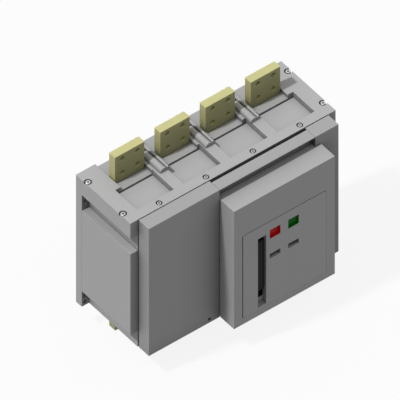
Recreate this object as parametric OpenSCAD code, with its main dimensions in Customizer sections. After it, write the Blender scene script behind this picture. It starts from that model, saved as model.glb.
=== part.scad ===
// Four-pole low-voltage circuit breaker, fixed mounting, front connection bars.
// Origin: centre of the rear mounting face. +X to the right, +Y back into the plate, +Z up.

/* [Housing] */
// Height of the pole housing
body_h = 406.6; // [400:0.1:430]
// Distance from the outer poles to the ends of the housing, between the side grooves
end_margin = 79; // [76:0.5:84]
// Depth of the side grooves, which is also how far the mounting ears stand out
groove_deep = 21; // [19:0.5:30]
// Height of the wide flange along the top
flange_h = 49; // [40:1:60]
// Thickness of the mounting ears
ear_t = 21.6; // [15:0.1:28]
// Height of the groove above each side panel
groove_top_h = 49.3; // [40:0.1:60]
// Height of the groove below each side panel
groove_low_h = 50.3; // [48:0.1:60]
// Wall of the side panels
side_panel_wall = 3; // [2:0.5:5]
// Diameter of the mounting holes in the ears
mount_hole_d = 9; // [7:0.5:11]
// Distance of the mounting holes in from the ends of the housing
mount_hole_in = 9.5; // [8:0.1:10]
// Distance of the upper pair of mounting holes below the flange
mount_high_drop = 24.3; // [15:0.1:34]
// Distance of the lower pair of mounting holes above the bottom
mount_low_rise = 31.3; // [27:0.1:35]
// Spacing from the lower pair to the spare pair below it
mount_spare_step = 20; // [14:1:22]

/* [Poles] */
// Spacing of the poles
pole_pitch = 130; // [126:1:133]
// Thickness of the housing above and below the pole chambers
chamber_roof = 31.3; // [28:0.1:36]
// Space beside the terminal bar in its open pocket
pocket_gap = 2; // [1:0.5:5]
// Length of the pocket, from the rear face
pocket_len = 94; // [90:1:100]
// Depth of the pocket below the end face
pocket_deep = 11.6; // [6:0.1:16]
// Depth of the moulding's hollows in the rear face
coring_deep = 34; // [20:1:38]
// Depth of those hollows behind the current transformers
coring_low_deep = 18; // [10:1:20]
// Height of the ribs between those hollows
coring_rib = 10; // [6:1:16]
// Thickness of the insulating wall in front of the chambers
wall_t = 22; // [18:1:26]
// Margin of the housing round the insulating wall, at the ends
wall_margin_x = 12; // [8:1:15]
// Margin of the housing round the insulating wall, above and below
wall_margin_z = 21.3; // [18:0.1:26]

/* [Terminals] */
// Width of the terminal bars
bar_w = 85; // [80:1:86]
// Thickness of the terminal bars
bar_t = 21.8; // [18:0.1:24]
// Distance of the bars from the rear mounting face
bar_back = 48.4; // [46:0.1:52]
// Length of bar outside the housing
bar_out = 73.2; // [68:0.1:90]
// Diameter of the connection holes
bar_hole_d = 13; // [11:0.5:14]
// Spacing of the connection holes, both ways
bar_hole_pitch = 44; // [40:1:48]
// Distance of the outer holes from the end of the bar
bar_hole_edge = 15.3; // [12:0.1:18]
// Width of the lower bar inside its current transformer
bar_neck_w = 60; // [50:1:64]
// Diameter of the bolts that hold the bars
bar_bolt_d = 8; // [6:1:10]
// Spacing of those bolts across the bar
bar_bolt_pitch = 50; // [40:1:56]
// Distance of the upper bolts below the chamber's roof
bar_bolt_drop = 60; // [50:1:70]

/* [Arc chutes] */
// How much wider the arc chutes are spaced than the poles
chute_spread = 4.7; // [2:0.1:6]
// Width of the chute's cover in its recess
chute_cover_w = 105.5; // [100:0.5:108]
// Length of the chute's cover, front to back
chute_cover_len = 77; // [74:0.5:84]
// Gap between the chute's cover and the wall behind it
chute_gap = 2; // [1:0.5:3]
// Housing between the chute's cover and the insulating wall
chute_front_wall = 5; // [3:0.5:8]
// Depth of the cover's top below the housing's top
recess_deep = 16; // [13:0.5:18]
// Thickness of the chute's cover
chute_cover_t = 6; // [4:0.5:8]
// How far the chute's cover stands out on both sides of the chute
chute_side_ledge = 10.75; // [9:0.25:13]
// How far the chute's cover stands out in front of the chute and behind it
chute_ledge = 5; // [4:0.5:8]
// Room between the fixed contacts and the chute's open lower end
chute_rise = 14; // [12:1:24]
// Wall of the chute
chute_wall = 4; // [3:0.5:5]
// Number of splitter plates in each chute
splitters = 8; // [5:1:8]
// Thickness of the splitter plates
splitter_t = 2; // [1.5:0.5:2.5]
// Depth of the grooves that hold the splitter plates
splitter_seat = 1.5; // [1:0.5:2]

/* [Contacts] */
// Distance from the bars to the carrier axles
axle_gap = 41.8; // [40:0.1:43]
// Distance of the carrier axles above the current transformers
axle_rise = 58; // [57:1:62]
// Diameter of the carrier axles
axle_d = 12; // [10:1:14]
// Angle that the contacts swing through
swing = 15; // [12:1:16]
// Length of the driving arms
arm_len = 40; // [36:1:42]
// Thickness of the fixed contact pads
pad_t = 6; // [5:0.5:7]
// Distance from the carrier axles up to the middle of the fixed contact pads
pad_reach = 105; // [103:1:107]
// Height of the fixed contact pads
pad_h = 26; // [20:1:28]
// Thickness of one contact finger
finger_t = 8; // [6:0.5:8]
// Gap between contact fingers
finger_gap = 1.5; // [1:0.5:2]
// Thickness of the flexible braid
braid_t = 6; // [4:0.5:7]
// Width of the flexible braid
braid_w = 70; // [60:1:76]
// Height of each current transformer
ct_h = 44; // [36:1:46]
// Gap between each current transformer and the chamber's floor
ct_floor_gap = 10; // [8:1:12]

/* [Main shaft] */
// Distance from the housing's front to the main shaft
shaft_out = 20; // [19:0.5:24]
// Diameter of the main shaft
shaft_d = 22; // [18:1:24]
// Thickness of the lever cheeks on the shaft
lever_t = 5; // [4:0.5:6]
// Thickness of the coupling links
link_t = 8; // [6:0.5:9]
// Height of the coupling links
link_h = 14; // [12:1:16]
// Diameter of the link pins
link_pin_d = 10; // [8:1:11]
// Width of the shaft bearings
bearing_w = 14; // [10:1:16]

/* [Front covers] */
// Seam between the housing and the front covers
cover_seam = 2.3; // [1:0.1:4]
// Step in from the housing's sides to the covers
cover_inset = 1.5; // [0.5:0.5:4]
// Wall of the front covers
cover_wall = 3; // [2:0.5:3]
// Left end of the middle bay between the covers
bay_left = -69.4; // [-72:0.1:-69]
// Width of the middle bay between the covers
bay_w = 274.9; // [274:0.1:277]
// Gap beside the operator panel, from its left side to the left cover
bay_gap = 6.3; // [4:0.1:9]
// Gap between the housing and the hood over the middle bay
hood_gap = 9; // [6:0.5:11]
// How far the hood's top stands forward of its front wall
hood_lip = 13.5; // [10:0.5:15]
// Distance from the top to the hood's lower edge
hood_h = 39; // [34:1:44]
// Diameter of the round hole in the left cover
cover_hole_d = 8.5; // [6:0.5:10]

/* [Operator panel] */
// Gap between the left end of the middle bay and the operator panel
panel_gap = 1.4; // [1:0.1:2.4]
// How far the panel laps over the right cover
panel_lap = 16.5; // [12:0.5:20]
// Distance of the panel's top below the top of the housing
panel_drop = 30.8; // [28:0.1:36]
// How far the panel stands forward of the covers
panel_stand = 51; // [50.5:0.5:56]
// How far the panel reaches back into the middle bay
panel_sink = 8.5; // [6:0.5:10]
// Wall of the operator panel
panel_wall = 4; // [3:0.5:5]
// Width of the panel's frame left of its window
frame_left = 24.2; // [22:0.1:28]
// Width of the panel's frame right of its window
frame_right = 25; // [22:0.5:28]
// Height of the panel's frame above its window
frame_high = 93.2; // [86:0.1:96]
// Height of the panel's frame below its window
frame_low = 18.3; // [16:0.1:20]
// Corner radius of the window in the panel
window_r = 5; // [3:0.5:8]
// Thickness of the plate behind the window
plate_t = 3; // [2.5:0.5:3.5]

/* [Controls] */
// Distance from the window's left side to the handle's slot
slot_in = 44.8; // [42:0.1:48]
// Width of the handle's slot
slot_w = 23.7; // [23:0.1:24.5]
// Distance of the slot's top below the window's top
slot_drop = 37.3; // [32:0.1:42]
// Distance of the slot's bottom above the window's bottom
slot_rise = 8; // [6:0.5:12]
// Width of the charging handle
handle_w = 20.5; // [18:0.5:21]
// Distance of the handle's top below the slot's top
handle_drop = 16; // [12:1:20]
// Radius of the handle's hub
hub_r = 28; // [26:0.5:28]
// Stroke of the handle, in degrees
handle_stroke = 75; // [60:1:80]
// Distance from the slot's left side to the red button and its flag window
off_in = 34; // [33:0.5:35]
// Spacing of the two buttons
button_pitch = 53; // [51:0.5:53.5]
// Width of the button openings and the flag windows
button_w = 30.5; // [28:0.5:31]
// Height of the button openings
button_h = 28; // [24:1:30]
// Distance from the window's top to the middle of the buttons
button_drop = 43.3; // [40:0.1:46]
// Travel of the buttons
button_travel = 4; // [3:0.5:5]
// Height of the flag windows
flag_window_h = 15; // [12:0.5:18]
// Distance from the middle of the buttons to the middle of the flag windows
flag_drop = 69.5; // [66:0.5:72]

/* [Mechanism] */
// Distance of the camshaft above the slot's bottom
cam_rise = 57; // [55:1:60]
// Diameter of the camshaft
camshaft_d = 16; // [14:1:18]
// Distance between the mechanism plates
mech_w = 87; // [85:1:88]
// Thickness of the mechanism plates
mech_t = 3; // [2.5:0.5:4]
// Lift of the spring plunger in one stroke of the handle
cam_lift = 12; // [10:1:13]
// Distance from the camshaft to the roller
roller_reach = 26; // [25:0.5:27]
// Radius of the plunger's roller
roller_r = 6.5; // [5.5:0.5:7]
// Teeth on the ratchet wheel
ratchet_teeth = 16; // [12:1:20]
// Radius of the ratchet wheel
ratchet_r = 25; // [22:0.5:26]
// Diameter of the closing spring's wire
spring_wire_d = 4; // [3:0.5:5]
// Turns of the closing spring
spring_turns = 6; // [5:1:6]

/* [Hidden] */
$fn = 48;

// Clearance between pieces that fit together
fit = 0.3;
// Radial clearance of the running fits
run = 0.05;
// Overshoot of a cut past the face that it opens
cut = 1;

// Housing, from the poles out and from the rear face forward
top_z = body_h / 2;
core_w = 3 * pole_pitch + 2 * end_margin;
body_w = core_w + 2 * groove_deep;
chute_cover_back = pocket_len + chute_gap;
chamber_front = chute_cover_back + chute_cover_len + chute_front_wall;
body_d = chamber_front + wall_t;
flange_low = top_z - flange_h;
side_top = flange_low - groove_top_h;
side_low = -top_z + groove_low_h;
mount_high_z = flange_low - mount_high_drop;
mount_low_z = -top_z + mount_low_rise;
wall_x = core_w / 2 - wall_margin_x;
wall_z = top_z - wall_margin_z;

// Chutes and chambers: the outer chutes lie further out than their poles
chute_pitch = pole_pitch + chute_spread;
chute_w = chute_cover_w - 2 * chute_side_ledge;
chute_len = chute_cover_len - 2 * chute_ledge;
chute_mid = chute_cover_back + chute_cover_len / 2;
chamber_side_gap = 0.95;
chamber_w = chute_w + 3 * chute_spread + 2 * chamber_side_gap;
chamber_back = bar_back - fit;
chamber_top = top_z - chamber_roof;
pocket_w = bar_w + 2 * pocket_gap;
pocket_floor = top_z - pocket_deep;
recess_floor = top_z - recess_deep;
axle_web = 12;
axle_seat = (pole_pitch - chamber_w - axle_web) / 2;

// Bars, contacts and current transformers
bar_front = bar_back + bar_t;
bar_end = top_z + bar_out;
ct_low = -chamber_top + ct_floor_gap;
ct_top = ct_low + ct_h;
ct_sink = 16.4;
ct_stand = 16.8;
ct_back = chamber_back - ct_sink;
ct_front = bar_front + ct_stand;
axle_back = bar_front + axle_gap;
axle_z = ct_top + axle_rise;
pad_z = axle_z + pad_reach;
contact_lap = 10;
bar_upper_end = pad_z - pad_h / 2 - contact_lap;
bar_lower_end = axle_z - 2;
bar_bolt_high_z = chamber_top - bar_bolt_drop;
bar_bolt_low_z = ct_top + 20;
chute_low_z = pad_z + pad_h / 2 + chute_rise;

// Shaft, covers and operator panel
lever_end_r = 15;
bearing_r = 16;
cover_room = 1.5;
shaft_back = body_d + shaft_out;
cover_front = shaft_back + lever_end_r + cover_room + cover_wall;
bay_right = bay_left + bay_w;
hood_back = body_d + hood_gap;
panel_left = bay_left + panel_gap;
panel_right = bay_right + panel_lap;
panel_top = top_z - panel_drop;
panel_front = cover_front + panel_stand;
window_left = panel_left + frame_left;
window_right = panel_right - frame_right;
window_top = panel_top - frame_high;
window_low = -top_z + frame_low;
plate_front = panel_front - panel_wall;
plate_back = plate_front - plate_t;

// Handle, buttons and flags
slot_left = window_left + slot_in;
slot_top = window_top - slot_drop;
slot_low = window_low + slot_rise;
handle_top = slot_top - handle_drop;
handle_sink = 1.5;
off_left = slot_left + off_in;
on_left = off_left + button_pitch;
button_z = window_top - button_drop;
flag_z = button_z - flag_drop;

// Mechanism, behind the handle and the buttons
cam_back = plate_front - handle_sink - hub_r;
cam_z = slot_low + cam_rise;
mech_left = slot_left + slot_w + 1.3;
mech_right = mech_left + mech_w + 2 * mech_t;
mech_mid = mech_left + mech_t + mech_w / 2;
mech_inner = [mech_left + mech_t, mech_right - mech_t];
trip_back = cam_back - 13;
closing_back = cam_back - 35;
guide_back = cam_back + 5;
half_shaft_z = button_z - 18;

function pole_x(i) = (i - 2.5) * pole_pitch;
function chute_x(i) = (i - 2.5) * chute_pitch;
function span(middle, width) = [middle - width / 2, middle + width / 2];
function polar(r, a) = [r * cos(a), r * sin(a)];

// A block between two planes on each axis
module block(x, y, z)
    translate([x[0], y[0], z[0]]) cube([x[1] - x[0], y[1] - y[0], z[1] - z[0]]);

// A profile drawn in Y and Z, drawn out along X
module along_x(x)
    translate([x[0], 0, 0]) rotate([90, 0, 90]) linear_extrude(x[1] - x[0]) children();

// A profile drawn in X and Z, drawn out along Y
module along_y(y)
    translate([0, y[1], 0]) rotate([90, 0, 0]) linear_extrude(y[1] - y[0]) children();

module rod_x(r, x, y, z)
    translate([x[0], y, z]) rotate([0, 90, 0]) cylinder(r = r, h = x[1] - x[0]);

module rod_y(r, y, x, z)
    translate([x, y[1], z]) rotate([90, 0, 0]) cylinder(r = r, h = y[1] - y[0]);

module rod_z(r, z, x, y)
    translate([x, y, z[0]]) cylinder(r = r, h = z[1] - z[0]);

// Turns what follows about a line along X
module turned(y, z, angle)
    translate([0, y, z]) rotate([angle, 0, 0]) translate([0, -y, -z]) children();

module both_ends() {
    children();
    mirror([0, 0, 1]) children();
}

module both_sides() {
    children();
    mirror([1, 0, 0]) children();
}

// A rectangle in a profile, with round corners
module rounded(x, z, r) {
    translate([x[0] + r, z[0]]) square([x[1] - x[0] - 2 * r, z[1] - z[0]]);
    translate([x[0], z[0] + r]) square([x[1] - x[0], z[1] - z[0] - 2 * r]);
    for (cx = [x[0] + r, x[1] - r], cz = [z[0] + r, z[1] - r]) translate([cx, cz]) circle(r);
}

// A bar with round ends between two points of a profile
module round_bar(a, b, ra, rb, w) {
    length = norm(b - a);
    translate(a) circle(ra);
    translate(b) circle(rb);
    translate(a) rotate(atan2(b[1] - a[1], b[0] - a[0])) translate([0, -w / 2]) square([length, w]);
}

// A coiled spring along Z as one closed skin
module coil(r, wire_r, z, turns, segments, sides) {
    rings = turns * segments;
    rise = z[1] - z[0] - 2 * wire_r;
    function ring(k) = [
        for (s = [0:sides - 1])
            let (a = 360 * k / segments, b = 360 * s / sides, q = r + wire_r * cos(b))
            [q * cos(a), q * sin(a), z[0] + wire_r + rise * k / rings + wire_r * sin(b)]
    ];
    polyhedron(
        points = [for (k = [0:rings]) each ring(k)],
        faces = concat(
            [[for (s = [0:sides - 1]) s]],
            [
                for (k = [0:rings - 1], s = [0:sides - 1])
                    let (a = k * sides + s, b = k * sides + (s + 1) % sides)
                    [a, a + sides, b + sides, b]
            ],
            [[for (s = [sides - 1:-1:0]) rings * sides + s]]
        )
    );
}

grey = [0.68, 0.68, 0.69];
pale_grey = [0.74, 0.74, 0.75];
black = [0.13, 0.13, 0.14];
copper = [0.78, 0.45, 0.3];
plated = [0.83, 0.8, 0.6];
steel = [0.62, 0.63, 0.66];

// The hollows that the moulding leaves in the rear face behind one pole
module rear_coring() {
    edge = chamber_top;
    step = (2 * edge - 2 * coring_rib) / 3;
    x = [-pocket_w / 2, pocket_w / 2];
    block(x, [-coring_deep, cut], [edge - step, edge]);
    block(x, [-coring_deep, cut], [-step / 2, step / 2]);
    block(x, [-coring_low_deep, cut], [-edge, step - edge]);
}

module pole_cuts() {
    // Chamber, open to the front
    block(span(0, chamber_w), [-chamber_front - cut, -chamber_back], [-chamber_top, chamber_top]);
    // Seat of the current transformer
    block(span(0, chamber_w), [-chamber_back - cut, -ct_back + fit], [ct_low - fit, ct_top + fit]);
    both_ends() {
        // Pocket round the terminal, open to the rear
        block(span(0, pocket_w), [-pocket_len - fit, cut], [pocket_floor, top_z + cut]);
        // Slot that the bar passes through
        block(
            span(0, bar_w + 2 * fit), [-bar_front - fit, -bar_back + fit],
            [chamber_top - cut, pocket_floor + cut]
        );
    }
    // Seats of the carrier's axle
    rod_x(axle_d / 2 + run, span(0, chamber_w + 2 * axle_seat), -axle_back, axle_z);
    // Holes for the bolts that hold the bars
    for (x = span(0, bar_bolt_pitch), z = [bar_bolt_high_z, bar_bolt_low_z])
        rod_y(bar_bolt_d / 2 + fit, [-chamber_back - cut, 0], x, z);
    rear_coring();
}

module chute_cut() {
    block(
        span(0, chute_cover_w + 2 * fit),
        [-chute_cover_back - chute_cover_len - fit, -pocket_len],
        [recess_floor - chute_cover_t, top_z + cut]
    );
    block(
        span(0, chute_w + 2 * fit),
        span(-chute_mid, chute_len + 2 * fit),
        [chamber_top - cut, recess_floor]
    );
}

// Places of the four screws in the top flange
flange_screw_in = 7.7;
flange_screw_rear = 35;
flange_screw_front = body_d - 36.7;
flange_bore_d = 18.5;
flange_head_d = 14;
screw_sink = 8;
wall_screw_back = body_d - 13.1;
wall_bore_d = 15.5;
wall_head_d = 12.5;
screw_d = 6;
flange_screw_len = 30;
wall_screw_len = wall_margin_z + 12.7;

module at_flange_screws()
    both_sides() for (y = [flange_screw_rear, flange_screw_front])
        translate([body_w / 2 - flange_screw_in, -y, top_z]) children();

module at_wall_screws()
    both_ends() for (i = [1:4]) translate([chute_x(i), -wall_screw_back, top_z]) children();

module screw_hole(bore_d, length) {
    translate([0, 0, -screw_sink]) cylinder(d = bore_d, h = screw_sink + cut);
    translate([0, 0, -length - fit]) cylinder(d = screw_d + 2 * run, h = length + fit);
}

module screw(head_d, length) {
    difference() {
        union() {
            translate([0, 0, -screw_sink]) cylinder(d = head_d, h = screw_sink - 0.5);
            translate([0, 0, -length]) cylinder(d = screw_d, h = length - screw_sink + 0.5);
        }
        translate([0, 0, -screw_sink + 1]) cylinder(d = 5, h = screw_sink, $fn = 6);
    }
}

module pole_housing() color(grey) difference() {
    union() {
        block(span(0, core_w), [-body_d, 0], [-top_z, top_z]);
        block(span(0, body_w), [-body_d, 0], [flange_low, top_z]);
        block(span(0, body_w), [-ear_t, 0], [-top_z, top_z]);
    }
    for (i = [1:4]) {
        translate([pole_x(i), 0, 0]) pole_cuts();
        translate([chute_x(i), 0, 0]) chute_cut();
    }
    // Rebate for the insulating wall
    block([-wall_x - fit, wall_x + fit], [-body_d - cut, -chamber_front], [-wall_z - fit, wall_z + fit]);
    at_flange_screws() screw_hole(flange_bore_d, flange_screw_len);
    at_wall_screws() screw_hole(wall_bore_d, wall_screw_len);
    both_sides() for (z = [mount_high_z, mount_low_z, mount_low_z - mount_spare_step])
        rod_y(mount_hole_d / 2, [-ear_t - cut, cut], body_w / 2 - mount_hole_in, z);
}

link_slot_w = 14;
link_slot_h = 30;

module insulating_wall() color(pale_grey) difference() {
    link_z = axle_z + arm_len;
    block([-wall_x, wall_x], [-body_d, -chamber_front], [-wall_z, wall_z]);
    for (i = [1:4]) {
        block(
            span(pole_x(i), link_slot_w), [-body_d - cut, -chamber_front + cut],
            span(link_z, link_slot_h)
        );
        // Hollows that lighten the wall, towards the chambers
        for (z = [[-wall_z + 32, axle_z], [link_z + link_slot_h / 2 + 25, wall_z - 32]])
            block(span(pole_x(i), chamber_w - 20), [-chamber_front - 12, -chamber_front + cut], z);
    }
    at_wall_screws() screw_hole(wall_bore_d, wall_screw_len);
}

module side_panel() color(grey) {
    x = [core_w / 2, body_w / 2];
    y = [-body_d, -ear_t];
    z = [side_low, side_top];
    w = side_panel_wall;
    rib_step = (z[1] - z[0]) / 4;
    difference() {
        block(x, y, z);
        block([x[0] - cut, x[1] - w], [y[0] + w, y[1] - w], [z[0] + w, z[1] - w]);
    }
    for (k = [1:3])
        block([x[0], x[1] - w], [y[0] + w, y[1] - w], span(z[0] + k * rib_step, w));
}

module side_panel_right() side_panel();
module side_panel_left() mirror([1, 0, 0]) side_panel();

// A screw boss between a front cover and the housing
post_r = 7;
post_in_x = 18;
post_in_z = 38.3;
module post(x, z, front)
    rod_y(post_r, [-front, -body_d], x, z);

module front_cover(x, post_xs) {
    y = [-cover_front, -body_d - cover_seam];
    w = cover_wall;
    difference() {
        block(x, y, [-top_z, top_z]);
        block([x[0] + w, x[1] - w], [y[0] + w, y[1] + cut], [-top_z + w, top_z - w]);
    }
    for (px = post_xs, pz = span(0, 2 * (top_z - post_in_z))) post(px, pz, cover_front - w);
}

cover_edge = core_w / 2 - cover_inset;

// Room for the main shaft and a lever where they cross the walls beside the middle bay
module shaft_notch(x)
    block(
        [x[0] - cut, x[1] + cut], [-shaft_back - lever_end_r - 2, -body_d + cut],
        [axle_z - lever_end_r - 2, axle_z + arm_len + 12]
    );

module front_cover_left() color(grey) {
    right = panel_left - bay_gap;
    difference() {
        front_cover([-cover_edge, right], [-cover_edge + post_in_x, right - post_in_x]);
        rod_y(
            cover_hole_d / 2, [-cover_front - cut, -cover_front + cover_wall + cut],
            right - 23.7, -top_z + 11.3
        );
        shaft_notch([right - cover_wall, right]);
    }
    // Tongue that meets the hood
    block([right - cut, bay_left], [-cover_front, -body_d - cover_seam], [top_z - cover_wall, top_z]);
}

module front_cover_right() color(grey) difference() {
    front_cover([bay_right, cover_edge], [cover_edge - post_in_x]);
    shaft_notch([bay_right, bay_right + cover_wall]);
}

hood_post_r = 6;
module mechanism_hood() color(grey) {
    x = [bay_left + fit, bay_right - fit];
    w = cover_wall;
    front = cover_front - hood_lip;
    low = top_z - hood_h;
    block(x, [-cover_front, -hood_back], [top_z - w, top_z]);
    block(x, [-front, -front + w], [low, top_z]);
    for (end = [[x[0], x[0] + w], [x[1] - w, x[1]]])
        block(end, [-front, -hood_back], [low, top_z]);
    // Bosses against the housing
    for (px = [x[0] + 29, (x[0] + x[1]) / 2, x[1] - 29])
        rod_y(hood_post_r, [-front + w, -body_d], px, panel_top + hood_post_r);
}

module operator_panel() color(grey) {
    w = panel_wall;
    shoulder = cover_front + 0.5;
    back = cover_front - panel_sink;
    difference() {
        union() {
            block([panel_left, panel_right], [-panel_front, -shoulder], [-top_z, panel_top]);
            block([panel_left, bay_right - fit], [-shoulder, -back], [-top_z, panel_top]);
        }
        block([panel_left + w, panel_right - w], [-plate_front, -shoulder - w], [-top_z + w, panel_top - w]);
        block(
            [panel_left + w, bay_right - fit - w], [-shoulder - w - cut, -back + cut],
            [-top_z + w, panel_top - w]
        );
        along_y([-panel_front - cut, -plate_front + cut])
            rounded([window_left, window_right], [window_low, window_top], window_r);
        shaft_notch([panel_left, panel_left + w]);
        shaft_notch([bay_right - fit - w, bay_right - fit]);
    }
    at_panel_posts() post(0, 0, plate_front);
    // Floor of the middle bay, back towards the housing
    block([panel_left, bay_right - fit], [-back - cut, -hood_back], [-top_z, -top_z + w]);
}

module at_panel_posts()
    for (px = [panel_left + 12, bay_right - 14], pz = [-top_z + post_in_z, panel_top - 20.5])
        translate([px, 0, pz]) children();

module controls_openings(y, grow) {
    for (x = [off_left, on_left]) {
        block([x - grow, x + button_w + grow], y, span(button_z, button_h + 2 * grow));
        block([x - grow, x + button_w + grow], y, span(flag_z, flag_window_h + 2 * grow));
    }
}

flag_lap = 1;
flag_t = 2;
pane_t = 1.3;
flag_front = plate_back - pane_t - fit;
flag_back = flag_front - flag_t;
flag_low_z = flag_z - flag_window_h * 1.5 - flag_lap;
flag_h = 2 * flag_window_h + 2 * flag_lap;

module panel_plate() color(pale_grey) {
    lap = 6;
    slot = [slot_left, slot_left + slot_w];
    well_wall = 1.2;
    well_back = plate_back - 7;
    well_floor = 1.5;
    well_open = [cam_z - 25, handle_top + 2];
    difference() {
        union() {
            block(
                [window_left - lap, window_right + lap], [-plate_front, -plate_back],
                [window_low - lap, window_top + lap]
            );
            block(
                [slot[0] - well_wall, slot[1] + well_wall], [-plate_front, -well_back],
                [slot_low - well_wall, slot_top + well_wall]
            );
        }
        // Handle well: open behind the handle, closed above and below it
        block(slot, [-plate_front - cut, -well_back - well_floor], [slot_low, slot_top]);
        block(slot, [-plate_front - cut, -well_back + cut], well_open);
        controls_openings([-plate_front - cut, -plate_back + cut], 0);
        at_panel_posts() rod_y(post_r + fit, [-plate_front - cut, -plate_back + cut], 0, 0);
    }
    // Rails that guide the two flags
    for (x = [off_left, on_left]) {
        rail_z = [flag_low_z, flag_low_z + flag_h + flag_window_h + 2];
        left = x - flag_lap - fit;
        right = x + button_w + flag_lap + fit;
        lip_y = [-flag_back + fit, -flag_back + fit + 1.2];
        block([left - 1.4, left], [-plate_back, lip_y[1]], rail_z);
        block([left - 1.4, left + 1.5], lip_y, rail_z);
        block([right, right + 1.4], [-plate_back, lip_y[1]], rail_z);
        block([right - 1.5, right + 1.4], lip_y, rail_z);
    }
}

module flag_windows() color([0.8, 0.85, 0.9, 0.4])
    for (x = [off_left, on_left])
        block(
            [x - flag_lap, x + button_w + flag_lap], [-plate_back, -plate_back + pane_t],
            span(flag_z, flag_window_h + 3)
        );

module flag(x) block(
    [x - flag_lap, x + button_w + flag_lap], [-flag_front, -flag_back],
    [flag_low_z, flag_low_z + flag_h]
);
module on_off_flag() color([0.05, 0.35, 0.15]) flag(on_left);
module spring_flag() color([0.6, 0.6, 0.6]) flag(off_left);

// One terminal bar, from its inner end out past the housing
module terminal_bar(inner_z, bolt_zs) {
    difference() {
        block(span(0, bar_w), [-bar_front, -bar_back], [inner_z, bar_end]);
        for (x = span(0, bar_hole_pitch), z = [0, bar_hole_pitch])
            rod_y(bar_hole_d / 2, [-bar_front - cut, -bar_back + cut], x, bar_end - bar_hole_edge - z);
        for (x = span(0, bar_bolt_pitch))
            rod_y(bar_bolt_d / 2 + run, [-bar_back - bolt_grip, -bar_back + cut], x, bolt_zs);
    }
}

bolt_grip = 15;
bolt_head = [6, 13];

module upper_terminal(i) color(plated) translate([pole_x(i), 0, 0])
    terminal_bar(bar_upper_end, bar_bolt_high_z);

module lower_terminal(i) color(plated) translate([pole_x(i), 0, 0]) difference() {
    mirror([0, 0, 1]) terminal_bar(-bar_lower_end, -bar_bolt_low_z);
    both_sides() block(
        [bar_neck_w / 2, bar_w], [-bar_front - cut, -bar_back + cut],
        [ct_low - 3, ct_top + 3]
    );
}

// Hexagon-headed bolts, put in from the hollows in the rear face
module terminal_bolts() color(steel)
    for (i = [1:4], x = span(pole_x(i), bar_bolt_pitch), end = [
        [bar_bolt_high_z, coring_deep], [bar_bolt_low_z, coring_low_deep]
    ]) {
        rod_y(bar_bolt_d / 2, [-bar_back - bolt_grip + 1, -end[1] + 1], x, end[0]);
        translate([x, -end[1] + bolt_head[0], end[0]]) rotate([90, 0, 0])
            cylinder(d = bolt_head[1], h = bolt_head[0], $fn = 6);
    }

// Pads on the upper bars, each with an arc horn that rises behind the chute
horn_w = 40;
horn_h = 62;
horn_t = 3;
horn_gap = 7.8;
module fixed_contacts() color(copper) for (i = [1:4]) translate([pole_x(i), 0, 0]) {
    pad_top = pad_z + pad_h / 2;
    out = chute_mid - chute_len / 2 - horn_gap;
    block(span(0, bar_w - 9), [-bar_front - pad_t, -bar_front], span(pad_z, pad_h));
    along_x(span(0, horn_w)) polygon([
        [-bar_front, pad_top + 1], [-bar_front, pad_top + 14], [-bar_front - horn_t, pad_top + 15],
        [-out + horn_t, pad_top + 34], [-out + horn_t, pad_top + horn_h],
        [-out, pad_top + horn_h], [-out, pad_top + 33],
        [-bar_front - horn_t, pad_top + 10], [-bar_front - horn_t, pad_top + 1]
    ]);
}

splitter_first = chute_mid - chute_len / 2 + chute_wall + 3;
splitter_step = (chute_len - 2 * chute_wall - 6 - splitter_t) / (splitters - 1);
splitter_z = [chute_low_z + 8, recess_floor - chute_cover_t - 6];
function splitter_y(k) = -splitter_first - k * splitter_step;

module arc_chute(i) color(pale_grey) translate([chute_x(i), 0, 0]) {
    low_cover = recess_floor - chute_cover_t;
    inner_w = chute_w - 2 * chute_wall;
    block(span(0, chute_cover_w), span(-chute_mid, chute_cover_len), [low_cover, recess_floor]);
    difference() {
        block(span(0, chute_w), span(-chute_mid, chute_len), [chute_low_z, low_cover]);
        block(
            span(0, inner_w), span(-chute_mid, chute_len - 2 * chute_wall),
            [chute_low_z - cut, low_cover - 4]
        );
        for (k = [0:splitters - 1])
            block(
                span(0, inner_w + 2 * splitter_seat),
                [splitter_y(k) - splitter_t - fit, splitter_y(k) + fit],
                [splitter_z[0] - fit, splitter_z[1] + fit]
            );
    }
}

// Steel plates with a notch that draws the arc up
module splitter_plates() color(steel) for (i = [1:4], k = [0:splitters - 1]) {
    half = (chute_w - 2 * chute_wall) / 2 + splitter_seat - fit;
    translate([chute_x(i), 0, 0]) along_y([splitter_y(k) - splitter_t, splitter_y(k)]) polygon([
        [-half, splitter_z[0]], [-half, splitter_z[1]], [half, splitter_z[1]], [half, splitter_z[0]],
        [16, splitter_z[0]], [3, splitter_z[0] + 38], [-3, splitter_z[0] + 38], [-16, splitter_z[0]]
    ]);
}

// Places in the closed position, turned open about the axle for the rest position
pad_front = bar_front + pad_t;
tip_reach = axle_back - pad_front - fit;
module opened() turned(-axle_back, axle_z, swing) children();
// The driven pin, seen from the axle, with the contacts closed
drive_pin = polar(arm_len, 90 - swing / 2);
finger_xs = [for (side = [-1, 1], k = [0:2]) side * (11 + finger_t / 2 + k * (finger_t + finger_gap))];

module contact_fingers(i) color(copper) translate([pole_x(i), 0, 0]) opened()
    translate([0, -axle_back, axle_z]) for (x = finger_xs) along_x(span(x, finger_t)) {
        tip_low = pad_reach - pad_h / 2;
        tip_high = pad_reach + pad_h / 2;
        difference() {
            union() {
                circle(14);
                polygon([
                    [-9, -20], [9, -20], [10, 40], [14, 76], [tip_reach, tip_low + 2], [tip_reach, tip_high],
                    [tip_reach - 13, tip_high], [4, tip_low + 8], [-6, 66], [-9, 30]
                ]);
            }
            circle(axle_d / 2 + run);
        }
    }

carrier_half = 44;

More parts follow.
